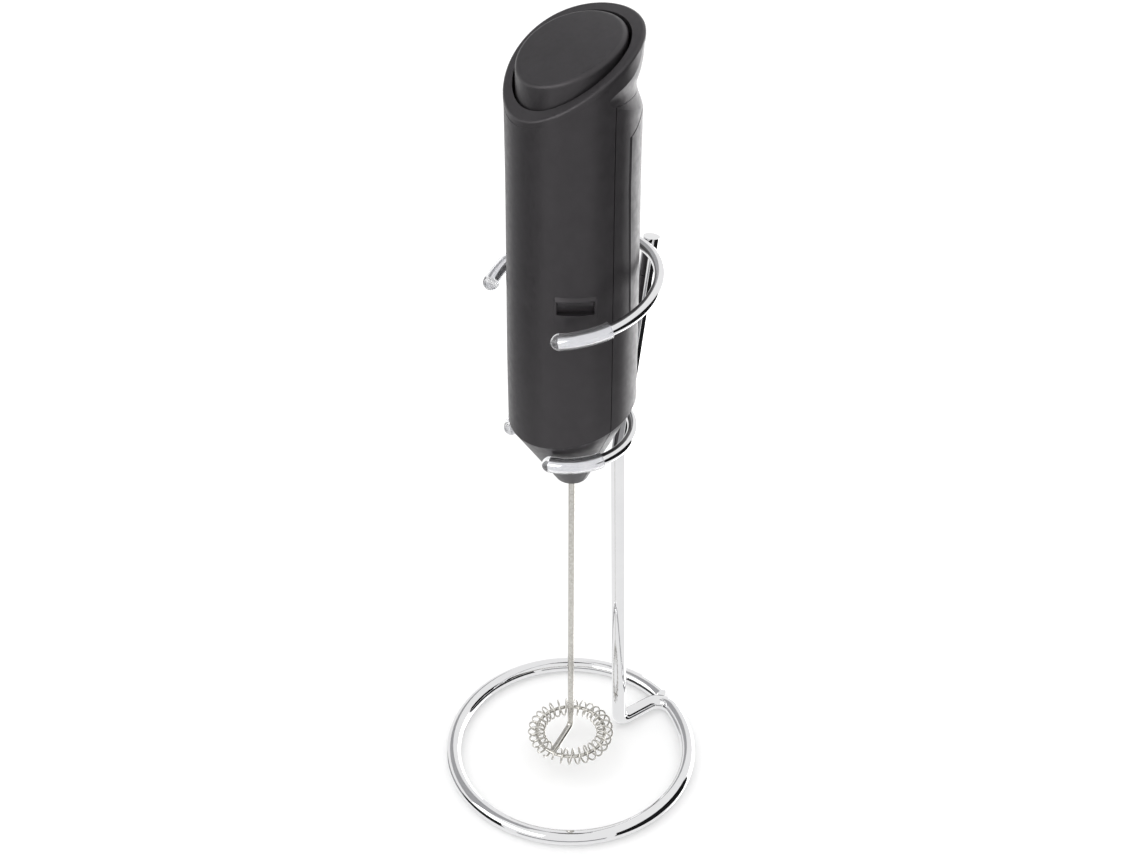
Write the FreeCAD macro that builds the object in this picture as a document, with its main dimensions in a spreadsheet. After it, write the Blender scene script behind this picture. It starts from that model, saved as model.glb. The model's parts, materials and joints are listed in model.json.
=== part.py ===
"""Battery milk frother standing in a bent wire stand.

Millimetres, +Z up.  The origin is on the table, at the centre of the stand's base ring, which is also the
axis of the whisk shaft.  The stand's post is at +Y and the mouth of its two holder rings faces -Y, the
low side of the handle's slanted top.
"""
import FreeCAD, Part
import math
import os
import Sketcher

App = FreeCAD
Vec = App.Vector
X_AXIS, Y_AXIS, Z_AXIS = Vec(1, 0, 0), Vec(0, 1, 0), Vec(0, 0, 1)

DIMENSIONS = {
    # wire stand
    "wire_dia": 4.2,
    "base_ring_radius": 35.1,
    "base_bend_radius": 5.0,
    "foot_bend_radius": 3.0,
    "foot_y": 18.3,
    "kink_y": 15.5,
    "kink_z": 103.8,
    "kink_bend_radius": 14.0,
    "post_top_y": 24.3,
    "post_top_z": 165.8,
    "ring_tail_angle": 91.0,
    # holder rings: a C of thinner wire, its open side low and turned a little from the front
    "holder_wire_dia": 2.9,
    "mouth_turn": -4.5,
    "upper_ring_radius": 21.3,
    "upper_ring_y": 0.0,
    "upper_ring_z": 160.0,
    "upper_ring_tilt": 13.5,
    "upper_mouth_half": 43.5,
    "lower_ring_radius": 15.7,
    "lower_ring_y": 0.0,
    "lower_ring_z": 118.0,
    "lower_ring_tilt": 4.5,
    "lower_mouth_half": 30.0,
    # clear tip sleeves
    "sleeve_dia": 4.1,
    "sleeve_bore_gap": 0.02,
    "upper_sleeve_length": 14.4,
    "lower_sleeve_length": 15.3,
    # handle shells
    "wall": 1.6,
    "skirt_radius": 16.25,
    "waist_radius": 15.72,
    "rim_radius": 16.1,
    "taper_start_z": 140.0,
    "taper_end_z": 190.0,
    "flare_start_z": 206.0,
    "flare_end_z": 222.0,
    "skirt_z": 125.8,
    "skirt_tilt": 15.1,
    "nose_radius": 4.24,
    "nose_z": 103.2,
    "nose_bush_radius": 2.35,
    "crown_radius": 78.0,
    "crown_slope": 30.4,
    "crown_z": 218.9,
    "lip_half_width": 16.3,
    "lip_half_depth": 15.6,
    "lip_height": 1.5,
    "lip_fillet": 0.6,
    "neck_shift": 2.1,
    "bay_top_z": 206.7,
    "shell_split_z": 211.0,
    "seam_gap": 0.2,
    # snap windows in the front shell, a lip over each and a tongue in it
    "latch_angle": 56.2,
    "latch_width": 8.9,
    "latch_low_z": 160.7,
    "latch_high_z": 164.2,
    "latch_depth": 2.1,
    "latch_backing": 0.8,
    "latch_lip_height": 1.2,
    "latch_lip_rise": 0.4,
    "tongue_height": 0.9,
    "tongue_inset": 0.5,
    # battery cover
    "cover_half_width": 15.04,
    "cover_bottom_z": 154.5,
    "cover_corner_z": 202.5,
    "cover_top_z": 206.4,
    "cover_top_half_width": 12.0,
    "cover_back_y": 4.5,
    "cover_gap": 0.3,
    # push button and switch
    "well_half_width": 13.9,
    "well_half_depth": 12.9,
    "well_y": -0.6,
    "well_depth": 8.0,
    "neck_bore_radius": 11.4,
    "button_half_width": 12.85,
    "button_half_depth": 12.4,
    "button_fillet": 1.2,
    "button_slope": 23.0,
    "button_crown_radius": 110.0,
    "button_z": 221.1,
    "button_drop": 5.0,
    "button_stem_radius": 4.3,
    "stem_hole_radius": 4.7,
    "stem_end_z": 211.0,
    "switch_z": 203.0,
    "switch_height": 3.5,
    "switch_half_width": 4.5,
    "switch_half_depth": 3.5,
    "switch_floor": 0.7,
    "plunger_radius": 1.5,
    "plunger_gap": 0.35,
    "plunger_end_z": 205.7,
    "spring_radius": 3.0,
    "spring_wire_radius": 0.22,
    "spring_turns": 4,
    # chassis
    "chassis_gap": 0.15,
    "deck_thickness": 1.4,
    "floor_thickness": 1.6,
    "rail_inner_x": 4.0,
    "rail_outer_x": 9.0,
    "rail_front_y": 9.0,
    "rail_back_y": 7.6,
    "chassis_back_y": 9.3,
    "collar_wall": 2.2,
    "collar_overlap": 8.0,
    "collar_gap": 0.05,
    # batteries and contacts
    "cell_dia": 13.9,
    "cell_length": 49.0,
    "cell_nub_length": 1.2,
    "cell_nub_radius": 2.75,
    "cell_x": 7.05,
    "cell_bottom_z": 150.6,
    "contact_half_width": 4.0,
    "contact_height": 1.8,
    "contact_thickness": 0.5,
    # motor
    "motor_z": 121.8,
    "motor_length": 24.0,
    "motor_radius": 10.0,
    "motor_flat": 7.6,
    "motor_can_wall": 0.7,
    "motor_cap_length": 3.0,
    "motor_boss_radius": 3.0,
    "motor_boss_length": 1.5,
    "motor_shaft_radius": 1.0,
    "motor_shaft_reach": 9.0,
    "motor_bush_radius": 2.0,
    "bush_gap": 0.04,
    "magnet_bore_radius": 7.2,
    "magnet_half_width": 5.5,
    "rotor_radius": 6.8,
    "rotor_hub_radius": 3.4,
    "rotor_slot_width": 1.6,
    "winding_radius": 5.6,
    "winding_rise": 1.6,
    "commutator_radius": 2.4,
    "lead_radius": 0.55,
    "terminal_x": 6.0,
    "terminal_rise": 1.3,
    # whisk
    "coupling_radius": 2.0,
    "shaft_radius": 0.9,
    "shaft_gap": 0.05,
    "shaft_bend_z": 11.2,
    "whisk_z": 8.1,
    "whisk_ring_radius": 10.15,
    "whisk_core_radius": 0.55,
    "coil_radius": 2.45,
    "coil_wire_radius": 0.3,
    "coil_turns": 28,
    "coil_gap_angle": 19.0,
    "arm_angle": -68.5,
}

nodes = {}
doc = App.newDocument("milk_frother")
sheet = doc.addObject("Spreadsheet::Sheet", "dims")
for row, (alias, number) in enumerate(DIMENSIONS.items(), start=1):
    sheet.set(f"A{row}", alias)
    sheet.set(f"B{row}", str(number))
    sheet.setAlias(f"B{row}", alias)
doc.recompute()


def size(alias):
    """The number that the sheet holds for one dimension."""
    return float(sheet.get(alias))


def bind(obj, **expressions):
    """Tie properties of an object to expressions of the sheet; d. stands for the sheet."""
    for prop, text in expressions.items():
        obj.setExpression(prop, str(text).replace("d.", "dims."))


def place(obj, at=(0, 0, 0), rotation=None):
    """Put an object at three expressions, turned by a fixed rotation."""
    if rotation is not None:
        obj.Placement = App.Placement(Vec(), rotation)
    for axis, text in zip("xyz", at):
        if text != 0:
            obj.setExpression(".Placement.Base." + axis, str(text).replace("d.", "dims."))
    return obj


def primitive(kind, name, at=(0, 0, 0), rotation=None, **sizes):
    """A Part primitive with its sizes and its place bound to the sheet."""
    obj = doc.addObject("Part::" + kind, name)
    bind(obj, **sizes)
    return place(obj, at, rotation)


def fuse(name, *shapes):
    obj = doc.addObject("Part::MultiFuse", name)
    obj.Shapes = list(shapes)
    obj.Refine = True
    return obj


def common(name, *shapes):
    obj = doc.addObject("Part::MultiCommon", name)
    obj.Shapes = list(shapes)
    return obj


def cut(name, base, *tools):
    obj = doc.addObject("Part::Cut", name)
    obj.Base = base
    obj.Tool = tools[0] if len(tools) == 1 else fuse(name + "_tools", *tools)
    return obj


def node(name, obj):
    """Give an object the label that names its file."""
    obj.Label = name
    nodes[name] = obj
    return obj


def origin_plane(body, role):
    return next(f for f in body.Origin.OriginFeatures if f.Role == role)


def profile_sketch(body, name, corners, plane="XZ_Plane"):
    """A closed outline of straight lines whose corners are pairs of sheet expressions."""
    sketch = body.newObject("Sketcher::SketchObject", name)
    sketch.AttachmentSupport = [(origin_plane(body, plane), "")]
    sketch.MapMode = "FlatFace"
    points = [Vec(*(float(evaluate(text)) for text in corner), 0) for corner in corners]
    count = len(points)
    for i in range(count):
        sketch.addGeometry(Part.LineSegment(points[i], points[(i + 1) % count]), False)
    for i in range(count):
        sketch.addConstraint(Sketcher.Constraint("Coincident", i, 2, (i + 1) % count, 1))
    for i, corner in enumerate(corners):
        for kind, text, value in zip(("DistanceX", "DistanceY"), corner, points[i]):
            if abs(value) < 1e-9:
                axis_geometry = -2 if kind == "DistanceX" else -1
                sketch.addConstraint(Sketcher.Constraint("PointOnObject", i, 1, axis_geometry))
                continue
            index = sketch.addConstraint(Sketcher.Constraint(kind, -1, 1, i, 1, value))
            sketch.setExpression(f"Constraints[{index}]", str(text).replace("d.", "dims."))
    return sketch


def evaluate(text):
    """The value of a sheet expression, for a sketch's first guess."""
    return sheet.evalExpression(str(text).replace("d.", "dims."))


def turned(name, corners, at=(0, 0, 0), rotation=None):
    """A PartDesign body turned about Z from an outline of (radius, height) corners."""
    body = doc.addObject("PartDesign::Body", name)
    sketch = profile_sketch(body, name + "_profile", corners)
    turn = body.newObject("PartDesign::Revolution", name + "_turn")
    turn.Profile = sketch
    turn.ReferenceAxis = (sketch, ["V_Axis"])
    turn.Angle = 360
    return place(body, at, rotation)


def padded(name, corners, length, reversed_side=False):
    """A PartDesign body padded along Y from an outline in the XZ plane."""
    body = doc.addObject("PartDesign::Body", name)
    pad = body.newObject("PartDesign::Pad", name + "_pad")
    pad.Profile = profile_sketch(body, name + "_outline", corners)
    bind(pad, Length=length)
    pad.Reversed = reversed_side
    return body


def disc(name, radius, low, high, at=(0, 0)):
    """A Part cylinder from one height to another."""
    return primitive("Cylinder", name, at=(*at, low), Radius=radius, Height=f"({high}) - ({low})")


def oval(name, half_width, half_depth, low, high, y="0"):
    """An upright prism with an elliptical section, its long axis along X."""
    outline = primitive("Ellipse", name + "_outline", at=(0, y, low),
                        MajorRadius=half_width, MinorRadius=half_depth)
    prism = doc.addObject("Part::Extrusion", name)
    prism.Base = outline
    prism.DirMode = "Normal"
    prism.Solid = True
    bind(prism, LengthFwd=f"({high}) - ({low})")
    return prism


def block(name, low, high):
    """A Part box from its lowest corner to its highest, as expressions."""
    lengths = [f"({h}) - ({l})" for l, h in zip(low, high)]
    return primitive("Box", name, at=low, Length=lengths[0], Width=lengths[1], Height=lengths[2])


def bent_wire(name, corners, radii, wire_radius, lead_in=()):
    """One wire bent round its inner corners: straight runs joined by tangent arcs."""
    edges = list(lead_in)
    start = corners[0]
    for i, radius in enumerate(radii, start=1):
        before = (corners[i - 1] - corners[i]).normalize()
        after = (corners[i + 1] - corners[i]).normalize()
        half = before.getAngle(after) / 2
        reach = radius / math.tan(half)
        bisector = (before + after).normalize()
        centre = corners[i] + bisector * (radius / math.sin(half))
        arc_start = corners[i] + before * reach
        arc_end = corners[i] + after * reach
        edges.append(Part.LineSegment(start, arc_start).toShape())
        edges.append(Part.Arc(arc_start, centre - bisector * radius, arc_end).toShape())
        start = arc_end
    edges.append(Part.LineSegment(start, corners[-1]).toShape())
    path = Part.Wire(edges)
    first = edges[0]
    direction = first.tangentAt(first.FirstParameter)
    section = Part.Wire(Part.makeCircle(wire_radius, first.valueAt(first.FirstParameter), direction))
    solid = path.makePipeShell([section], True, False)
    expected = math.pi * wire_radius**2 * path.Length
    if abs(solid.Volume / expected - 1) > 0.02:
        raise ValueError(f"{name} sweeps {solid.Volume:.0f}, not {expected:.0f}")
    obj = doc.addObject("Part::Feature", name)
    obj.Shape = solid
    return obj


def coil_spring(name, radius, wire_radius, low, high, turns):
    """A round-wire compression spring between two heights."""
    height = high - low - 2 * wire_radius
    helix = Part.makeHelix(height / turns, height, radius)
    section = Part.Wire(Part.makeCircle(wire_radius, Vec(radius, 0, 0), Y_AXIS))
    obj = doc.addObject("Part::Feature", name)
    obj.Shape = Part.Wire(helix.Edges).makePipeShell([section], True, True)
    obj.Placement = App.Placement(Vec(0, 0, low + wire_radius), App.Rotation())
    return obj


def polar(radius, degrees, height):
    angle = math.radians(degrees)
    return Vec(radius * math.cos(angle), radius * math.sin(angle), height)


# ---------------------------------------------------------------- stand

def make_stand_wire():
    """Base ring, spoke and post: one length of wire, its tail welded back to its first bend."""
    ring, bend = size("base_ring_radius"), size("base_bend_radius")
    wire = size("wire_dia") / 2
    bend_y = math.sqrt((ring - bend) ** 2 - bend**2)
    join = math.degrees(math.atan2(bend_y, bend))
    tail = size("ring_tail_angle")
    middle = (tail + 360 + join) / 2
    ring_arc = Part.Arc(polar(ring, tail, wire), polar(ring, middle, wire), polar(ring, join, wire))
    turn_in = join + (180 - join) / 2
    bend_middle = Vec(bend, bend_y, wire) + polar(bend, turn_in, 0)
    bend_arc = Part.Arc(polar(ring, join, wire), bend_middle, Vec(0, bend_y, wire))
    corners = [
        Vec(0, bend_y, wire),
        Vec(0, size("foot_y"), wire),
        Vec(0, size("kink_y"), size("kink_z")),
        Vec(0, size("post_top_y"), size("post_top_z")),
    ]
    bends = [size("foot_bend_radius"), size("kink_bend_radius")]
    base = [ring_arc.toShape(), bend_arc.toShape()]
    node("stand_wire", bent_wire("stand_wire", corners, bends, wire, base))


def ring_arc(name, level, wire_radius, start, sweep):
    """A stretch of a holder ring, its angles counted from the ring's own +X, in degrees."""
    tilt = App.Rotation(X_AXIS, size(f"{level}_ring_tilt"))
    return primitive(
        "Torus", name,
        at=(0, f"d.{level}_ring_y", f"d.{level}_ring_z"),
        rotation=tilt * App.Rotation(Z_AXIS, start),
        Radius1=f"d.{level}_ring_radius",
        Radius2=wire_radius,
        Angle3=sweep,
    )


def ring_end_cap(name, level, radius, angle):
    """A ball on a holder ring's centre line."""
    tilt = App.Rotation(X_AXIS, size(f"{level}_ring_tilt"))
    centre = tilt.multVec(polar(size(f"{level}_ring_radius"), angle, 0))
    ball = doc.addObject("Part::Sphere", name)
    bind(ball, Radius=radius)
    ball.Placement.Base = centre + Vec(0, size(f"{level}_ring_y"), size(f"{level}_ring_z"))
    return ball


def make_holder_ring(level):
    """A C-shaped ring with a clear domed sleeve slipped over each of its two ends."""
    mouth, turn = size(f"{level}_mouth_half"), size("mouth_turn")
    ring_radius, sleeve_radius = size(f"{level}_ring_radius"), size("sleeve_dia") / 2
    dome = math.degrees(sleeve_radius / ring_radius)
    sleeve_sweep = math.degrees(size(f"{level}_sleeve_length") / ring_radius) - dome
    first_tip, last_tip = -90 + turn + mouth, 270 + turn - mouth
    wire_start, wire_sweep = first_tip + dome, last_tip - first_tip - 2 * dome
    wire = ring_arc(f"{level}_ring_wire", level, "d.holder_wire_dia / 2", wire_start, wire_sweep)
    node(f"{level}_holder_ring", cut(f"{level}_holder_ring", wire, nodes["stand_wire"]))
    for side, start, ball in (
        ("right", first_tip + dome, first_tip + dome),
        ("left", last_tip - dome - sleeve_sweep, last_tip - dome),
    ):
        name = f"{level}_sleeve_{side}"
        tube = ring_arc(name + "_tube", level, "d.sleeve_dia / 2", start, sleeve_sweep)
        cap = ring_end_cap(name + "_dome", level, "d.sleeve_dia / 2", ball)
        bore = ring_arc(
            name + "_bore", level, "d.holder_wire_dia / 2 + d.sleeve_bore_gap", start, sleeve_sweep)
        node(name, cut(name, fuse(name + "_blank", tube, cap), bore))


# ---------------------------------------------------------------- handle shells

def crown_solid(name, radius, slope, height, lower=0):
    """A long drum lying along X whose top is the slanted, gently domed crown, lowered by a distance."""
    return primitive(
        "Cylinder", name,
        at=("-d.rim_radius * 2",
            f"{radius} * sin({slope} * 1 deg)",
            f"{height} - {radius} * cos({slope} * 1 deg) - ({lower})"),
        rotation=App.Rotation(Y_AXIS, 90),
        Radius=radius,
        Height="d.rim_radius * 4",
    )


def rim_crown(name, lower=0):
    return crown_solid(name, "d.crown_radius", "d.crown_slope", "d.crown_z", lower)


def skirt_cone(name, inset, lift):
    """The slanted cone under the shells: a ruled loft from the nose circle to the tilted skirt edge."""
    quarter = App.Rotation(Z_AXIS, 90)
    nose = primitive("Circle", name + "_nose", at=(0, 0, f"d.nose_z + {lift}"), rotation=quarter,
                     Radius=f"d.nose_radius - {inset}")
    edge = primitive("Ellipse", name + "_edge", at=(0, 0, "d.skirt_z"),
                     rotation=App.Rotation(X_AXIS, size("skirt_tilt")) * quarter,
                     MajorRadius=f"(d.skirt_radius - {inset}) / cos(d.skirt_tilt * 1 deg)",
                     MinorRadius=f"d.skirt_radius - {inset}")
    loft = doc.addObject("Part::Loft", name)
    loft.Sections = [nose, edge]
    loft.Solid = True
    loft.Ruled = True
    return loft


def below_skirt(name):
    """Everything under the tilted skirt edge."""
    reach = 2 * size("skirt_radius")
    slab = doc.addObject("Part::Box", name)
    slab.Length, slab.Width, slab.Height = 2 * reach, 2 * reach, reach
    tilt = App.Rotation(X_AXIS, size("skirt_tilt"))
    corner = Vec(0, 0, size("skirt_z")) + tilt.multVec(Vec(-reach, -reach, -reach))
    slab.Placement = App.Placement(corner, tilt)
    return slab


def trunk(name, inset):
    """The handle's round trunk above the skirt edge, inset for the inside of the wall."""
    low, high = "d.nose_z", "d.crown_z + d.rim_radius"
    blank = turned(name + "_blank", [
        (0, low),
        (f"d.skirt_radius - {inset}", low),
        (f"d.skirt_radius - {inset}", "d.taper_start_z"),
        (f"d.waist_radius - {inset}", "d.taper_end_z"),
        (f"d.waist_radius - {inset}", "d.flare_start_z"),
        (f"d.rim_radius - {inset}", "d.flare_end_z"),
        (f"d.rim_radius - {inset}", high),
        (0, high),
    ])
    return cut(name, blank, below_skirt(name + "_skirt"))


def neck_groove():
    """A ring that scoops the neck under the rim, deepest at the back and gone at the seams.

    The hollow is a list of (distance outside the waist, height) points.
    """
    waist, base, rise = size("waist_radius"), size("nose_z"), size("crown_z") + size("rim_radius")
    hollow = [(1.9, 204.6), (1.55, 207.0), (1.0, 208.6), (0.38, 210.3), (0.03, 212.4), (0.52, 214.8),
              (1.1, 217.1), (1.4, 219.4), (1.6, 223.0)]
    curve = Part.BSplineCurve()
    curve.interpolate([Vec(waist + out, 0, z) for out, z in hollow])
    first, last = curve.StartPoint, curve.EndPoint
    corners = [last, Vec(last.x, 0, rise), Vec(2 * waist, 0, rise), Vec(2 * waist, 0, base),
               Vec(first.x + 0.4, 0, base), first]
    edges = [curve.toShape()] + [Part.LineSegment(a, b).toShape() for a, b in zip(corners, corners[1:])]
    groove = doc.addObject("Part::Feature", "neck_groove")
    groove.Shape = Part.Face(Part.Wire(edges)).revolve(Vec(), Z_AXIS, 360)
    return place(groove, at=(0, "-d.neck_shift", 0))


def rim_lip():
    """The oval band round the top, its upper edge rounded."""
    top = "d.crown_z + d.rim_radius"
    blank = oval("lip_blank", "d.lip_half_width", "d.lip_half_depth", "d.nose_z", top)
    under_drum = common("lip_top", blank, rim_crown("lip_drum"))
    band = cut("lip_band", under_drum, rim_crown("lip_underside", "d.lip_height"))
    rounded = doc.addObject("Part::Fillet", "rim_lip")
    rounded.Base = band
    doc.recompute()
    tallest = max(band.Shape.Faces, key=lambda face: face.CenterOfMass.z if face.Area > 100 else 0)
    keys = [edge.hashCode() for edge in tallest.Edges]
    rounded.Edges = [(i, size("lip_fillet"), size("lip_fillet"))
                     for i, edge in enumerate(band.Shape.Edges, start=1) if edge.hashCode() in keys]
    return rounded


def latch_block(name, side, out, width, low, high):
    """A radial block at one snap window, from the middle of the handle out to a distance."""
    obj = doc.addObject("Part::Box", f"{name}_{side}")
    bind(obj, Width=width, Height=f"({high}) - ({low})")
    start, end = (evaluate(text) for text in out)
    obj.Length = end - start
    direction = App.Rotation(Z_AXIS, -90 + (1 if side == "right" else -1) * size("latch_angle"))
    corner = direction.multVec(Vec(start, -evaluate(width) / 2, 0))
    obj.Placement = App.Placement(corner + Vec(0, 0, evaluate(low)), direction)
    return obj


def latch_window(side):
    """The pieces of one snap window: its backing, lip and tongue, and the cutter that opens it."""
    width, low, high = "d.latch_width", "d.latch_low_z", "d.latch_high_z"
    skin = "(d.skirt_radius + d.waist_radius) / 2"
    floor = f"{skin} - d.latch_depth"
    backing = latch_block("latch_backing", side, (f"{floor} - d.latch_backing", f"{skin} - d.wall / 2"),
                          f"{width} + 1.6", f"{low} - 1", f"{high} + 1")
    opening = latch_block("latch_opening", side, (floor, f"{skin} * 1.2"), width, low, high)
    sector = latch_block("latch_lip_sector", side, (floor, f"{skin} * 1.2"), f"{width} + 0.6", high,
                         f"{high} + d.latch_lip_height")
    band = turned(f"latch_lip_band_{side}", [
        (f"{skin} - d.wall / 2", high),
        (f"{skin} + d.latch_lip_rise * 0.8", high),
        (f"{skin} + d.latch_lip_rise", f"{high} + d.latch_lip_height * 0.3"),
        (skin, f"{high} + d.latch_lip_height"),
        (f"{skin} - d.wall / 2", f"{high} + d.latch_lip_height"),
    ])
    lip = common(f"latch_lip_{side}", band, sector)
    tongue = latch_block("latch_tongue", side, (f"{floor} - d.latch_backing / 2", f"{skin} - d.tongue_inset"),
                         f"{width} - 0.8", f"{high} - 0.1 - d.tongue_height", f"{high} - 0.1")
    return backing, opening, lip, tongue


def outer_form():
    """The outside of the handle as one solid: trunk, skirt cone, scooped neck and rim lip."""
    body = fuse("outside", trunk("outside_trunk", "0"), skirt_cone("outside_cone", "0", "0"))
    crowned = common("outside_crowned", body, rim_crown("rim_drum", "d.lip_height"))
    return fuse("outer_form", cut("necked_form", crowned, neck_groove()), rim_lip())


def make_shells():
    """Front shell with the rim and button well, rear shell, and the battery cover cut out of it."""
    top = "d.crown_z + d.rim_radius"
    main_bay = common(
        "main_bay",
        fuse("inside", trunk("inside_trunk", "d.wall"), skirt_cone("inside_cone", "d.wall", "d.wall")),
        disc("bay_limit", "d.skirt_radius", "d.nose_z", "d.bay_top_z"),
        rim_crown("cavity_drum", "d.well_depth + d.wall"),
    )
    neck_bay = common(
        "neck_bay",
        disc("neck_bore", "d.neck_bore_radius", "d.switch_z", top),
        rim_crown("neck_drum", "d.well_depth + d.wall"),
    )
    well = cut(
        "button_well",
        oval("well_bore", "d.well_half_width", "d.well_half_depth", "d.nose_z", top, y="d.well_y"),
        rim_crown("well_floor", "d.well_depth"),
    )
    stem_hole = disc("stem_hole", "d.stem_hole_radius", "d.switch_z", "d.crown_z")
    bush_hole = disc("bush_hole", "d.nose_bush_radius", "d.nose_z - 1", "d.nose_z + d.wall * 2")
    hollow = cut("hollow_form", outer_form(), main_bay, neck_bay, well, stem_hole, bush_hole)

    wide = "d.rim_radius * 2"
    rear_half = block("rear_half", ("-" + wide, "d.seam_gap / 2", "d.nose_z - 5"),
                      (wide, wide, "d.shell_split_z"))
    front_cutter = block("front_cutter", ("-" + wide, "-d.seam_gap / 2", "d.nose_z - 5"),
                         (wide, wide, "d.shell_split_z + d.seam_gap / 2"))
    windows = [latch_window(side) for side in ("left", "right")]
    backings, openings, lips, tongues = zip(*windows)
    backed = fuse("front_backed", cut("front_half", hollow, front_cutter), *backings, *lips)
    node("front_shell", fuse("front_shell", cut("front_opened", backed, *openings), *tongues))

    rear = common("rear_blank", hollow, rear_half)
    node("rear_shell", cut("rear_shell", rear, cover_prism("cover_window", "0")))
    node("battery_cover", common("battery_cover", rear, cover_prism("cover_body", "d.cover_gap")))


def cover_prism(name, gap):
    """The battery cover's outline, straight-sided with two cut top corners, padded towards the back."""
    outline = [
        (f"-(d.cover_half_width - {gap})", f"d.cover_bottom_z + {gap}"),
        (f"d.cover_half_width - {gap}", f"d.cover_bottom_z + {gap}"),
        (f"d.cover_half_width - {gap}", "d.cover_corner_z"),
        (f"d.cover_top_half_width - {gap}", f"d.cover_top_z - {gap}"),
        (f"-(d.cover_top_half_width - {gap})", f"d.cover_top_z - {gap}"),
        (f"-(d.cover_half_width - {gap})", "d.cover_corner_z"),
    ]
    prism = padded(name, outline, "d.rim_radius * 1.5", reversed_side=True)
    return place(prism, at=(0, f"d.cover_back_y + {gap}", 0))


# ---------------------------------------------------------------- button and switch

def make_button():
    """The cap that fills the well, with the stem that presses the switch."""
    top = "d.crown_z + 20"

    def under_crown(name, blank, lower):
        return common(name, blank, crown_solid(
            name + "_drum", "d.button_crown_radius", "d.button_slope", "d.button_z", lower))

    blank = oval("button_blank", "d.button_half_width", "d.button_half_depth", "d.nose_z", top, y="d.well_y")
    bore = oval("button_bore", "d.button_half_width - d.wall", "d.button_half_depth - d.wall",
                "d.nose_z", top, y="d.well_y")
    underside = rim_crown("button_underside", "d.button_drop")
    shell = cut("button_shell", under_crown("button_cap", blank, "0"), underside,
                under_crown("button_hollow", bore, "d.wall"))
    stem_blank = disc("stem_blank", "d.button_stem_radius", "d.stem_end_z", top)
    stem = under_crown("button_stem", stem_blank, "d.wall / 2")
    rounded = doc.addObject("Part::Fillet", "top_button")
    rounded.Base = fuse("button_joined", shell, stem)
    doc.recompute()
    half_width, fillet = size("button_half_width"), size("button_fillet")
    rounded.Edges = [
        (i, fillet, fillet) for i, edge in enumerate(rounded.Base.Shape.Edges, start=1)
        if abs(edge.BoundBox.XMax - half_width) < 0.01 and edge.BoundBox.ZMax > size("crown_z") + 5
        and edge.BoundBox.YLength > half_width
    ]
    node("top_button", rounded)


def make_switch():
    """Push switch on the chassis, its plunger and the return spring round it."""
    top = "d.switch_z + d.switch_height"
    body = block("switch_block", ("-d.switch_half_width", "-d.switch_half_depth", "d.switch_z"),
                 ("d.switch_half_width", "d.switch_half_depth", top))
    hole = disc("switch_hole", "d.plunger_radius + d.plunger_gap", "d.switch_z + d.switch_floor", top)
    node("switch_body", cut("switch_body", body, hole))
    node("switch_plunger", disc("switch_plunger", "d.plunger_radius", "d.plunger_end_z", "d.stem_end_z"))
    node("button_spring", coil_spring("button_spring", size("spring_radius"), size("spring_wire_radius"),
                                      evaluate(top), size("stem_end_z"), size("spring_turns")))


# ---------------------------------------------------------------- chassis, batteries, contacts

def make_chassis():
    """The inner carrier: motor collar, battery floor, two side rails and the switch deck."""
    bay, wide, top = "d.waist_radius - d.wall - d.chassis_gap", "d.waist_radius", "d.crown_z"
    floor_high = "d.cell_bottom_z - d.contact_height"
    floor_low = f"{floor_high} - d.floor_thickness"
    floor = common("battery_floor", disc("battery_floor_blank", bay, floor_low, floor_high),
                   block("floor_limit", ("-" + wide, "-" + wide, 0), (wide, "d.chassis_back_y", top)))
    deck_blank = disc("switch_deck_blank", bay, "d.switch_z - d.deck_thickness", "d.switch_z")
    deck = common("switch_deck", deck_blank,
                  block("deck_limit", ("-" + wide, "-d.rail_back_y", 0), (wide, "d.chassis_back_y", top)))
    rails = [
        common(f"rail_{side}", disc(f"rail_blank_{side}", bay, floor_low, "d.switch_z"),
               block(f"rail_limit_{side}", (low, "-d.rail_front_y", 0), (high, "-d.rail_back_y", top)))
        for side, low, high in (("left", "-d.rail_outer_x", "-d.rail_inner_x"),
                                ("right", "d.rail_inner_x", "d.rail_outer_x"))
    ]
    collar_low = "d.motor_z + d.motor_length - d.collar_overlap"
    collar = cut(
        "motor_collar",
        disc("collar_blank", "d.motor_radius + d.collar_wall", collar_low, floor_low),
        disc("collar_bore", "d.motor_radius + d.collar_gap", "d.nose_z", floor_low),
        block("lead_notch", (-8, 4, f"{floor_low} - 2.2"), (10, wide, floor_low)),
    )
    node("inner_chassis", fuse("inner_chassis", floor, deck, collar, *rails))


def make_cell(side, x, nub_up):
    """One AA cell; its positive nub is up or down."""
    radius, nub = "d.cell_dia / 2", "d.cell_nub_radius"
    outline = [
        (0, 0),
        (radius, 0),
        (radius, "d.cell_length"),
        (nub, "d.cell_length"),
        (nub, "d.cell_length + d.cell_nub_length"),
        (0, "d.cell_length + d.cell_nub_length"),
    ]
    flip = App.Rotation(X_AXIS, 0 if nub_up else 180)
    low = "d.cell_bottom_z" if nub_up else "d.cell_bottom_z + d.cell_length + d.cell_nub_length"
    node(f"battery_{side}", turned(f"battery_{side}", outline, at=(x, 0, low), rotation=flip))


def make_contacts():
    """A flat contact and a conical spring washer under the cells, and the bridge plate over them."""
    low, top = "d.cell_bottom_z", "d.cell_bottom_z + d.cell_length + d.cell_nub_length"
    half, thickness, rise = "d.contact_half_width", "d.contact_thickness", "d.contact_height"
    foot = f"{low} - {rise}"
    node("contact_flat", block("contact_flat", (f"d.cell_x - {half}", "-" + half, foot),
                               (f"d.cell_x + {half}", half, low)))
    node("contact_bridge", block("contact_bridge", (f"-d.cell_x - {half}", "-" + half, top),
                                 (f"d.cell_x + {half}", half, f"{top} + {thickness}")))
    washer = [(f"{half} - {thickness}", 0), (half, 0),
              (f"{half} * 0.4", rise), (f"{half} * 0.4 - {thickness}", rise)]
    node("contact_spring", turned("contact_spring", washer, at=("-d.cell_x", 0, foot)))


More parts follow.
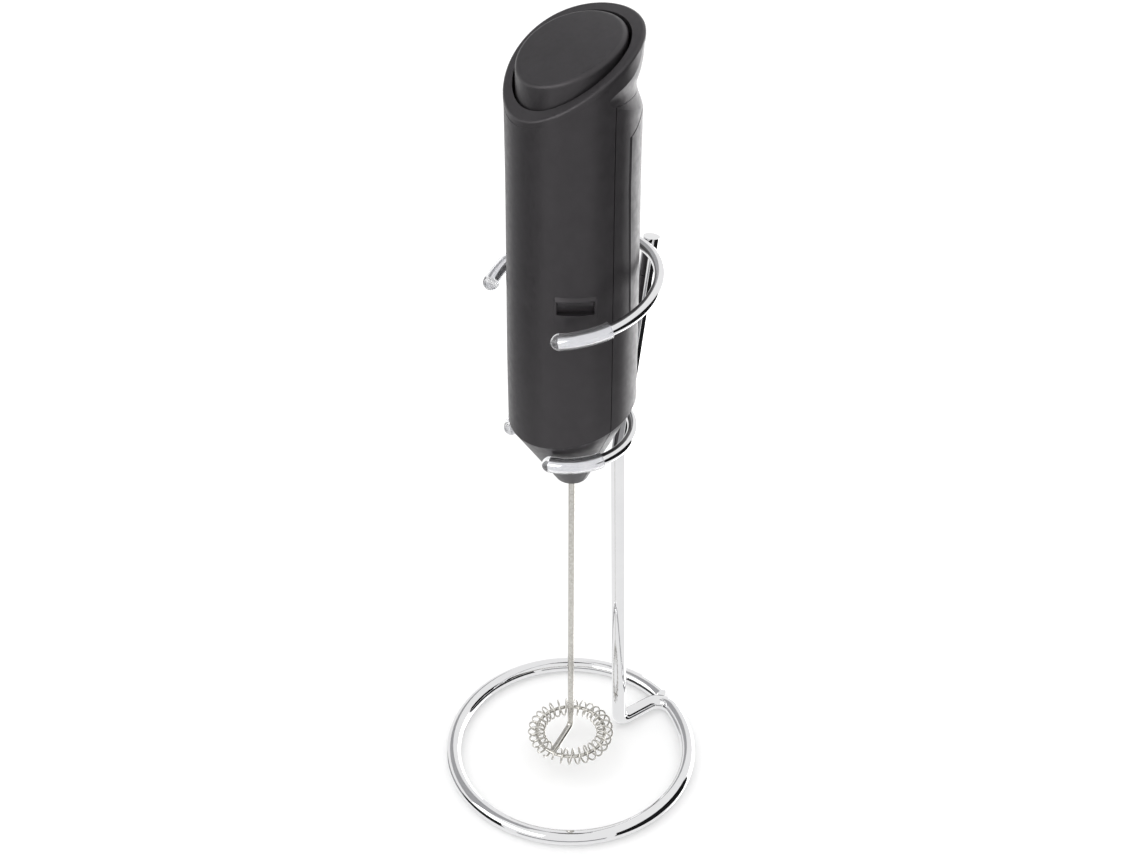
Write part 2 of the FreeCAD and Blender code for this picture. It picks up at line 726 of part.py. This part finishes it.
# ---------------------------------------------------------------- motor

def flats(name, half_width):
    """A slab that trims a round motor part to its two flats."""
    return block(name, ("-d.motor_radius * 2", f"-({half_width})", "d.nose_z"),
                 ("d.motor_radius * 2", half_width, "d.crown_z"))


def make_motor():
    """A small flat-sided brushed motor: can, end cap, magnets, brushes, terminals and bushes."""
    low, high = "d.motor_z", "d.motor_z + d.motor_length"
    can_radius, wall, can_high = "d.motor_radius", "d.motor_can_wall", f"{high} - d.motor_cap_length"
    boss_low = f"{low} - d.motor_boss_length"
    can = common("can_outside", disc("can_blank", can_radius, low, can_high),
                 flats("can_flats", "d.motor_flat"))
    boss = disc("can_boss", "d.motor_boss_radius", boss_low, low)
    inner = common("can_inside", disc("can_bore", f"{can_radius} - {wall}", f"{low} + {wall}", high),
                   flats("can_inner_flats", f"d.motor_flat - {wall}"))
    bush_bore = disc("can_bush_bore", "d.motor_bush_radius", boss_low, f"{low} + {wall}")
    node("motor_can", cut("motor_can", fuse("can_joined", can, boss), inner, bush_bore))

    cap = common("end_cap_outside", disc("end_cap_blank", can_radius, can_high, high),
                 flats("end_cap_flats", "d.motor_flat"))
    cap_bore = disc("end_cap_bore", "d.motor_bush_radius", can_high, high)
    node("motor_end_cap", cut("motor_end_cap", cap, cap_bore))

    inner_radius, outer_radius = "d.motor_shaft_radius + d.bush_gap", "d.motor_bush_radius"
    for name, base, end in (("motor_front_bush", boss_low, f"{low} + {wall}"),
                            ("motor_rear_bush", f"{high} - 2.6", f"{high} - 0.2")):
        outline = [(inner_radius, base), (outer_radius, base), (outer_radius, end), (inner_radius, end)]
        node(name, turned(name, outline))

    arc = cut("magnet_ring", disc("magnet_outer", f"{can_radius} - {wall}", f"{low} + 3", f"{high} - 7"),
              disc("magnet_inner", "d.magnet_bore_radius", low, high))
    half = "d.magnet_half_width"
    sides = fuse("magnet_sides", block("magnet_left", (f"-{can_radius}", "-" + half, low), (-5, half, high)),
                 block("magnet_right", (5, "-" + half, low), (can_radius, half, high)))
    node("motor_magnets", common("motor_magnets", arc, sides))

    brushes = [block(f"brush_{i}", (-1.2, y_low, f"{high} - 5.4"), (1.2, y_high, f"{high} - 3.0"))
               for i, (y_low, y_high) in enumerate(((2.9, 6.0), (-6.0, -2.9)))]
    node("motor_brushes", fuse("motor_brushes", *brushes))
    tip = f"{high} + d.terminal_rise"
    terminals = [block(f"terminal_{i}", (f"{x} - 1", -0.25, high), (f"{x} + 1", 0.25, tip))
                 for i, x in enumerate(("-d.terminal_x", "d.terminal_x"))]
    node("motor_terminals", fuse("motor_terminals", *terminals))


def make_rotor():
    """What turns inside the motor: shaft, laminated core, windings and commutator."""
    low, high = "d.motor_z", "d.motor_z + d.motor_length"
    bore = "d.motor_shaft_radius"
    node("motor_shaft", disc("motor_shaft", bore, f"{low} - d.motor_shaft_reach", f"{high} - 0.4"))
    core_low, core_high = f"{low} + 4.5", f"{high} - 8.5"
    round_core = disc("core_blank", "d.rotor_radius", core_low, core_high)
    slots = [
        primitive("Box", f"core_slot_{i}", at=(0, 0, core_low), rotation=App.Rotation(Z_AXIS, 120 * i + 60),
                  Length="d.motor_radius", Width="d.rotor_slot_width", Height=f"({core_high}) - ({core_low})")
        for i in range(3)
    ]
    seat = disc("winding_seat", "d.rotor_hub_radius", core_low, core_high)
    node("rotor_core", cut("rotor_core", round_core, disc("core_bore", bore, low, high), seat, *slots))
    hub, wound, winding_high = "d.rotor_hub_radius", "d.winding_radius", f"{core_high} + d.winding_rise"
    winding = [(bore, core_low), (hub, core_low), (hub, core_high), (wound, core_high),
               (wound, winding_high), (bore, winding_high)]
    node("rotor_windings", turned("rotor_windings", winding))
    ring, ring_high = "d.commutator_radius", f"{high} - 3.2"
    commutator = [(bore, winding_high), (ring, winding_high), (ring, ring_high), (bore, ring_high)]
    node("commutator", turned("commutator", commutator))


def make_leads():
    """The two insulated leads from the battery contacts and the switch to the motor."""
    over_motor = size("motor_z") + size("motor_length") + 0.7
    over_deck = size("switch_z") + 1.0
    terminal, radius = size("terminal_x"), size("lead_radius")
    red = [Vec(4.6, 6.0, over_deck), Vec(8.0, 10.6, over_deck),
           Vec(8.0, 10.6, over_motor), Vec(terminal, 2.0, over_motor)]
    node("lead_red", bent_wire("lead_red", red, [1.6, 1.6], radius))
    black = [Vec(-terminal, 1.2, over_motor), Vec(-terminal, 10.8, over_motor),
             Vec(-7.2, 10.8, over_motor + 3.9)]
    node("lead_black", bent_wire("lead_black", black, [1.4], radius))


# ---------------------------------------------------------------- whisk

def make_drive_line():
    """Nose bush, coupling and the whisk's shaft with its ring."""
    bush, outer = "d.shaft_radius + d.shaft_gap", "d.nose_bush_radius"
    low, high = "d.nose_z - d.wall", "d.nose_z + d.wall"
    outline = [(bush, low), (f"{outer} - 0.35", low), (outer, f"{low} + 0.4"), (outer, high), (bush, high)]
    node("nose_bushing", turned("nose_bushing", outline))

    joint_low, joint_mid, joint_high = "d.nose_z + 2.2", "d.motor_z - d.motor_shaft_reach", "d.motor_z - 2"
    whisk_bore, motor_bore, outer = "d.shaft_radius", "d.motor_shaft_radius", "d.coupling_radius"
    coupling = [(whisk_bore, joint_low), (outer, joint_low), (outer, joint_high), (motor_bore, joint_high),
                (motor_bore, joint_mid), (whisk_bore, joint_mid)]
    node("shaft_coupling", turned("shaft_coupling", coupling))

    top = Vec(0, 0, evaluate(joint_mid))
    bend = Vec(0, 0, size("shaft_bend_z"))
    arm_end = polar(size("whisk_ring_radius"), size("arm_angle"), size("whisk_z"))
    rod = bent_wire("whisk_rod", [top, bend, arm_end], [2.0], size("shaft_radius"))
    core = primitive("Torus", "whisk_core", at=(0, 0, "d.whisk_z"),
                     Radius1="d.whisk_ring_radius", Radius2="d.whisk_core_radius")
    node("whisk_shaft", fuse("whisk_shaft", rod, core))


def make_whisk_coil():
    """The spring round the whisk ring, one closed loop for each turn."""
    loops = []
    turns, gap = int(size("coil_turns")), size("coil_gap_angle")
    for i in range(turns):
        angle = size("arm_angle") + gap / 2 + (360 - gap) * i / (turns - 1)
        upright = App.Rotation(Z_AXIS, angle) * App.Rotation(X_AXIS, 90)
        loop = primitive("Torus", f"coil_loop_{i}", Radius1="d.coil_radius", Radius2="d.coil_wire_radius")
        loop.Placement = App.Placement(polar(size("whisk_ring_radius"), angle, size("whisk_z")), upright)
        loops.append(loop)
    group = doc.addObject("Part::Compound", "whisk_coil")
    group.Links = loops
    node("whisk_coil", group)


def export(name, obj):
    """Check one sub-part and write its solids."""
    shape = obj.Shape
    if shape.isNull() or not shape.isValid() or not shape.Solids:
        raise ValueError(f"{name} has no valid solid")
    if len(name) >= 60:
        raise ValueError(f"{name} is too long a name")
    shape.exportStep(os.path.join("parts", name + ".step"))
    box = shape.BoundBox
    print(f"{name:22s} {len(shape.Solids):3d} solids {shape.Volume:10.1f} mm3"
          f"  z {box.ZMin:7.2f} to {box.ZMax:7.2f}")


make_stand_wire()
make_holder_ring("upper")
make_holder_ring("lower")
make_shells()
make_button()
make_switch()
make_chassis()
make_cell("left", "-d.cell_x", True)
make_cell("right", "d.cell_x", False)
make_contacts()
make_motor()
make_rotor()
make_leads()
make_drive_line()
make_whisk_coil()
doc.recompute()

failed = [o.Name for o in doc.Objects if {"Invalid", "Error"} & set(o.State)]
if failed:
    raise ValueError(f"not built: {failed}")
os.makedirs("parts", exist_ok=True)
for node_name, node_object in nodes.items():
    export(node_name, node_object)
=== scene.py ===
"""Looks for the milk frother: camera, materials, the wound wires, floor and light.

The frother's and the camera's lengths are millimetres until MM turns them into metres. The studio's are
metres.
"""

import json
import math

import bpy
from mathutils import Matrix, Vector


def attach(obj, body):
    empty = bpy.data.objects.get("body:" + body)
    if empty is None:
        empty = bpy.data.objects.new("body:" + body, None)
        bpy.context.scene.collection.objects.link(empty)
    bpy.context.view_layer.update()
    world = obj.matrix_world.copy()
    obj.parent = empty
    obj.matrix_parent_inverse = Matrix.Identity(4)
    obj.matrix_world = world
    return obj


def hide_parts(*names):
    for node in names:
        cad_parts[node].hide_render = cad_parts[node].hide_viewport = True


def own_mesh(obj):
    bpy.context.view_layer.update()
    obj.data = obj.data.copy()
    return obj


MM = 0.001
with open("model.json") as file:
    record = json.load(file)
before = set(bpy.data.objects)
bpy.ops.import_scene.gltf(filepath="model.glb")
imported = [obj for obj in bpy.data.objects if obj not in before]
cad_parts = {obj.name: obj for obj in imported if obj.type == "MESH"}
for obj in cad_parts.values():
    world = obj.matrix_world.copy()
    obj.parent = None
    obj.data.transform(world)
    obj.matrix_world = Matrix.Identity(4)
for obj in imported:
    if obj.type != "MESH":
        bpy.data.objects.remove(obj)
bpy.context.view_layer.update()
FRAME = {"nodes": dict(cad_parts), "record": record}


# ---------------------------------------------------------------- camera

AZIMUTH, ELEVATION, ROLL = 53.7, 34.59, 0.19
DISTANCE = 395.6
LOOK_HEIGHT, LOOK_SIDE = 118.1, -0.51
LENS, SENSOR = 48.5, 36.0


def make_camera():
    """A camera above and to the right of the open side of the stand, looking down at the handle."""
    azimuth, elevation, roll = (math.radians(a) for a in (AZIMUTH, ELEVATION, ROLL))
    back = Vector((math.sin(azimuth) * math.cos(elevation), -math.cos(azimuth) * math.cos(elevation),
                   math.sin(elevation)))
    right = Vector((math.cos(azimuth), math.sin(azimuth), 0))
    up = back.cross(right)
    target = Vector((0, 0, LOOK_HEIGHT)) + right * LOOK_SIDE
    side = right * math.cos(roll) + up * math.sin(roll)
    head = up * math.cos(roll) - right * math.sin(roll)
    data = bpy.data.cameras.new("camera")
    data.lens, data.sensor_width = LENS, SENSOR
    camera = bpy.data.objects.new("camera", data)
    place = Matrix((side, head, back)).transposed().to_4x4()
    place.translation = (target + back * DISTANCE) * MM
    camera.matrix_world = place
    bpy.context.scene.collection.objects.link(camera)
    bpy.context.scene.camera = camera


# ---------------------------------------------------------------- materials

class Surface:
    """A Principled material with small helpers for the nodes that vary it."""

    def __init__(self, name, colour, roughness, metallic=0.0):
        self.material = bpy.data.materials.new(name)
        self.material.use_nodes = True
        self.tree = self.material.node_tree
        self.shader = self.tree.nodes["Principled BSDF"]
        self.shader.inputs["Base Color"].default_value = (*colour, 1)
        self.shader.inputs["Roughness"].default_value = roughness
        self.shader.inputs["Metallic"].default_value = metallic
        self.colour, self.roughness = colour, roughness
        self.place = self.tree.nodes.new("ShaderNodeTexCoord").outputs["Object"]

    def noise(self, grain_mm, detail=3.0, stretch=(1, 1, 1)):
        """Noise whose features are about grain_mm across, drawn out along an axis by stretch."""
        mapping = self.tree.nodes.new("ShaderNodeMapping")
        mapping.inputs["Scale"].default_value = tuple(1 / (grain_mm * MM * s) for s in stretch)
        self.tree.links.new(self.place, mapping.inputs["Vector"])
        texture = self.tree.nodes.new("ShaderNodeTexNoise")
        texture.inputs["Scale"].default_value = 1.0
        texture.inputs["Detail"].default_value = detail
        self.tree.links.new(mapping.outputs["Vector"], texture.inputs["Vector"])
        return texture.outputs["Fac"]

    def spread(self, source, low, high):
        """Map the middle of a noise onto a range."""
        ramp = self.tree.nodes.new("ShaderNodeMapRange")
        ramp.inputs["From Min"].default_value = 0.3
        ramp.inputs["From Max"].default_value = 0.7
        ramp.inputs["To Min"].default_value = low
        ramp.inputs["To Max"].default_value = high
        self.tree.links.new(source, ramp.inputs["Value"])
        return ramp.outputs["Result"]

    def vary_colour(self, grain_mm, other, amount=1.0, stretch=(1, 1, 1)):
        mix = self.tree.nodes.new("ShaderNodeMix")
        mix.data_type = "RGBA"
        mix.inputs["A"].default_value = (*self.colour, 1)
        mix.inputs["B"].default_value = (*other, 1)
        factor = self.spread(self.noise(grain_mm, stretch=stretch), 0, amount)
        self.tree.links.new(factor, mix.inputs["Factor"])
        self.tree.links.new(mix.outputs["Result"], self.shader.inputs["Base Color"])
        return self

    def vary_roughness(self, grain_mm, swing, stretch=(1, 1, 1)):
        low, high = self.roughness - swing, self.roughness + swing
        roughness = self.spread(self.noise(grain_mm, stretch=stretch), low, high)
        self.tree.links.new(roughness, self.shader.inputs["Roughness"])
        return self

    def bump(self, grain_mm, depth_mm, strength=1.0, stretch=(1, 1, 1)):
        bump = self.tree.nodes.new("ShaderNodeBump")
        bump.inputs["Strength"].default_value = strength
        bump.inputs["Distance"].default_value = depth_mm * MM
        self.tree.links.new(self.noise(grain_mm, stretch=stretch), bump.inputs["Height"])
        self.tree.links.new(bump.outputs["Normal"], self.shader.inputs["Normal"])
        return self

    def set(self, **values):
        for name, value in values.items():
            self.shader.inputs[name.replace("_", " ")].default_value = value
        return self


def satin_abs(name, colour):
    """Black moulded plastic with a fine spark-eroded texture."""
    lighter = tuple(c * 1.25 for c in colour)
    surface = Surface(name, colour, 0.40)
    surface.vary_colour(4.0, lighter).vary_roughness(1.5, 0.05).bump(0.25, 0.01, 0.35)
    return surface.set(Specular_IOR_Level=0.5, Specular_Tint=(1.0, 0.95, 0.99, 1)).material


def chrome():
    surface = Surface("chrome_wire", (0.72, 0.72, 0.725), 0.045, 1.0)
    surface.vary_colour(9.0, (0.69, 0.69, 0.70)).vary_roughness(3.0, 0.015).bump(6.0, 0.01, 0.12)
    return surface.material


def clear_vinyl():
    surface = Surface("clear_vinyl", (0.98, 0.98, 0.99), 0.03)
    surface.vary_colour(3.0, (0.94, 0.945, 0.97)).vary_roughness(1.0, 0.02).bump(2.5, 0.01, 0.2)
    return surface.set(Transmission_Weight=0.95, IOR=1.48).material


def steel(name, colour, roughness):
    """Drawn stainless wire with faint marks."""
    surface = Surface(name, colour, roughness, 1.0)
    darker = tuple(c * 0.8 for c in colour)
    return surface.vary_colour(0.8, darker).vary_roughness(0.5, 0.06).bump(0.15, 0.004, 0.4).material


def plain(name, colour, roughness, metallic=0.0, grain=1.0):
    """A hidden inner part: its colour with a little wear and a fine moulded or pressed grain."""
    darker = tuple(c * 0.75 for c in colour)
    surface = Surface(name, colour, roughness, metallic)
    surface.vary_colour(grain * 3, darker).vary_roughness(grain, 0.06).bump(grain * 0.3, 0.01, 0.4)
    return surface.material


def make_materials():
    return {
        "chrome_wire": chrome(),
        "clear_vinyl": clear_vinyl(),
        "shell_plastic": satin_abs("shell_plastic", (0.0172, 0.0160, 0.0174)),
        "button_plastic": satin_abs("button_plastic", (0.0175, 0.0165, 0.0177)),
        "inner_plastic": plain("inner_plastic", (0.10, 0.10, 0.105), 0.5),
        "cell_jacket": plain("cell_jacket", (0.50, 0.51, 0.53), 0.3, 0.8),
        "contact_metal": plain("contact_metal", (0.75, 0.73, 0.68), 0.3, 1.0, 0.4),
        "spring_steel": steel("spring_steel", (0.62, 0.61, 0.60), 0.25),
        "motor_steel": plain("motor_steel", (0.60, 0.60, 0.61), 0.35, 1.0),
        "bush_metal": plain("bush_metal", (0.55, 0.53, 0.48), 0.4, 1.0, 0.3),
        "magnet": plain("magnet", (0.07, 0.07, 0.075), 0.6),
        "winding_copper": plain("winding_copper", (0.72, 0.36, 0.18), 0.35, 0.9, 0.4),
        "lead_red": plain("lead_red", (0.50, 0.03, 0.02), 0.45),
        "lead_black": plain("lead_black", (0.03, 0.03, 0.03), 0.45),
        "whisk_steel": steel("whisk_steel", (0.61, 0.595, 0.56), 0.22),
    }


def dress_cad_nodes(materials):
    """Give every CAD node the material of its slot."""
    slots = {part["node"]: part["material_slot"] for part in FRAME["record"]["subparts"]}
    for name, node in FRAME["nodes"].items():
        node.data.materials.clear()
        node.data.materials.append(materials[slots[name]])


# ---------------------------------------------------------------- wound wires

WHISK_Z, WHISK_RING = 8.1, 10.15
ARM_ANGLE, ARM_GAP = -68.5, 13.0
COIL_RADIUS, COIL_WIRE, COIL_TURNS = 2.45, 0.27, 28
COIL_DRIFT = 1.6  # degrees at most that a turn strays round the ring
COIL_SHRINK = 0.03  # the turns' radius falls by up to twice this share
SPRING_LOW, SPRING_HIGH = 206.5, 210.98
SPRING_RADIUS, SPRING_WIRE, SPRING_TURNS = 3.0, 0.22, 4
POINTS_PER_TURN = 14


def wound_wire(name, points, wire_radius, material):
    """One round wire as a mesh along a smooth curve through the points, in millimetres."""
    curve = bpy.data.curves.new(name, "CURVE")
    curve.dimensions = "3D"
    curve.bevel_depth = wire_radius * MM
    curve.bevel_resolution = 3
    curve.resolution_u = 3
    curve.use_fill_caps = True
    spline = curve.splines.new("NURBS")
    spline.points.add(len(points) - 1)
    for control, point in zip(spline.points, points):
        control.co = (*(c * MM for c in point), 1)
    spline.use_endpoint_u = True
    path = bpy.data.objects.new(name + "_path", curve)
    bpy.context.scene.collection.objects.link(path)
    shape = path.evaluated_get(bpy.context.evaluated_depsgraph_get())
    wire = bpy.data.objects.new(name, bpy.data.meshes.new_from_object(shape))
    bpy.data.objects.remove(path)
    bpy.context.scene.collection.objects.link(wire)
    wire.data.materials.clear()
    wire.data.materials.append(material)
    return wire


def make_whisk_coil(material):
    """The whisk's spring: one wire wound a little unevenly round the ring, its two ends beside the arm."""
    points = []
    count = COIL_TURNS * POINTS_PER_TURN
    for i in range(count + 1):
        along = i / count
        drift = COIL_DRIFT * math.sin(math.pi * along) * math.sin(6 * math.pi * along + 0.8)
        around = math.radians(ARM_ANGLE + ARM_GAP / 2 + (360 - ARM_GAP) * along + drift)
        turn = 2 * math.pi * i / POINTS_PER_TURN
        winding = COIL_RADIUS * (1 - COIL_SHRINK * (1 + math.sin(9 * math.pi * along)))
        radius = WHISK_RING + winding * math.cos(turn)
        height = WHISK_Z + winding * math.sin(turn)
        points.append((radius * math.cos(around), radius * math.sin(around), height))
    coil = wound_wire("whisk_coil_wire", points, COIL_WIRE, material)
    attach(coil, "whisk")
    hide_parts("whisk_coil")


def make_button_spring(material):
    """The button's return spring, wound at one fixed length."""
    points = []
    count = SPRING_TURNS * POINTS_PER_TURN
    low, high = SPRING_LOW + SPRING_WIRE, SPRING_HIGH - SPRING_WIRE
    for i in range(count + 1):
        turn = 2 * math.pi * i / POINTS_PER_TURN
        height = low + (high - low) * i / count
        points.append((SPRING_RADIUS * math.cos(turn), SPRING_RADIUS * math.sin(turn), height))
    spring = wound_wire("button_spring_wire", points, SPRING_WIRE, material)
    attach(spring, "handle")
    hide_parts("button_spring")
    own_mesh(spring)


# ---------------------------------------------------------------- studio

FLOOR_REACH, FLAG_REACH, FLAG_STEPS = 4.0, 1.4, 24
SURROUND_STRENGTH = 1.1
SOFTBOX_PLACE, SOFTBOX_AIM = (-0.7, -0.5, 1.5), (0, 0, 0.1)
SOFTBOX_SIZE, SOFTBOX_WATTS = 0.9, 1.5


def sheet_object(name, points, faces):
    """A mesh of the studio, not of the frother."""
    mesh = bpy.data.meshes.new(name)
    mesh.from_pydata(points, [], faces)
    piece = bpy.data.objects.new(name, mesh)
    bpy.context.scene.collection.objects.link(piece)
    return piece


def make_floor():
    """A wide pale floor that reflections don't show, so that the wire mirrors the surround instead."""
    signs = ((-1, -1), (1, -1), (1, 1), (-1, 1))
    corner_points = [(x * FLOOR_REACH, y * FLOOR_REACH, 0) for x, y in signs]
    floor = sheet_object("floor", corner_points, [(0, 1, 2, 3)])
    surface = Surface("floor", (0.97, 0.97, 0.97), 0.6)
    surface.vary_colour(60.0, (0.96, 0.96, 0.96)).vary_roughness(40.0, 0.05)
    surface.set(Emission_Color=(1, 1, 1, 1), Emission_Strength=0.05)
    floor.data.materials.append(surface.material)
    floor.visible_glossy = False


def make_flag(name, first, last, low, high, material):
    """A flag, net or glowing strip: part of a sphere that shows only in polished, satin and clear pieces.

    It runs between two angles counted from the camera's azimuth. Low and high give its edges in degrees
    above the level, as functions of how far along it they are.
    """
    points = []
    for i in range(FLAG_STEPS + 1):
        azimuth = math.radians(AZIMUTH + first + (last - first) * i / FLAG_STEPS)
        bottom, top = low(i / FLAG_STEPS), high(i / FLAG_STEPS)
        for j in range(FLAG_STEPS + 1):
            elevation = math.radians(bottom + (top - bottom) * j / FLAG_STEPS)
            points.append((FLAG_REACH * math.sin(azimuth) * math.cos(elevation),
                           -FLAG_REACH * math.cos(azimuth) * math.cos(elevation),
                           FLAG_REACH * math.sin(elevation)))
    row = FLAG_STEPS + 1
    faces = [(i * row + j, i * row + j + 1, (i + 1) * row + j + 1, (i + 1) * row + j)
             for i in range(FLAG_STEPS) for j in range(FLAG_STEPS)]
    flag = sheet_object(name, points, faces)
    flag.data.materials.append(material)
    for ray in ("camera", "diffuse", "shadow", "volume_scatter"):
        setattr(flag, "visible_" + ray, False)


def make_light():
    """An even white surround, one softbox, and the flags, nets and strips that the polished wire mirrors."""
    world = bpy.data.worlds.new("studio")
    bpy.context.scene.world = world
    world.use_nodes = True
    background = world.node_tree.nodes["Background"]
    background.inputs["Color"].default_value = (1, 1, 1, 1)
    background.inputs["Strength"].default_value = SURROUND_STRENGTH

    black = Surface("flag_cloth", (0.012, 0.012, 0.013), 0.9).set(Specular_IOR_Level=0.0).material
    grey = Surface("flag_net", (0.33, 0.33, 0.34), 0.9).set(Specular_IOR_Level=0.0).material
    make_flag("flag_right", 35, 108, lambda t: -30, lambda t: 30 - 17 * (1.6 * t - 1) ** 2, black)
    make_flag("flag_left", -95, -54, lambda t: -31, lambda t: -8 + 20 * t, black)
    make_flag("net_left", -130, -95, lambda t: -32, lambda t: -14 + 6 * t, grey)
    make_flag("net_middle", -42, 28, lambda t: -30, lambda t: -14, grey)
    pale = Surface("top_net", (0.42, 0.42, 0.43), 0.9).set(Specular_IOR_Level=0.0).material
    make_flag("net_top", -170, -85, lambda t: 22, lambda t: 76, pale)
    glow = Surface("strip_glow", (1, 1, 1), 0.9).set(Emission_Color=(1, 1, 1, 1), Emission_Strength=2.0)
    make_flag("strip_right", 109, 165, lambda t: -55, lambda t: 10, glow.material)
    make_flag("strip_key", -84, -22, lambda t: 14, lambda t: 44, glow.material)

    light = bpy.data.lights.new("softbox", "AREA")
    light.shape, light.size, light.energy = "DISK", SOFTBOX_SIZE, SOFTBOX_WATTS
    box = bpy.data.objects.new("softbox", light)
    box.location = SOFTBOX_PLACE
    box.rotation_euler = (Vector(SOFTBOX_AIM) - box.location).to_track_quat("-Z", "Y").to_euler()
    bpy.context.scene.collection.objects.link(box)
    bpy.context.scene.view_settings.view_transform = "Standard"


make_camera()
MATERIALS = make_materials()
dress_cad_nodes(MATERIALS)
make_whisk_coil(MATERIALS["whisk_steel"])
make_button_spring(MATERIALS["spring_steel"])
make_floor()
make_light()
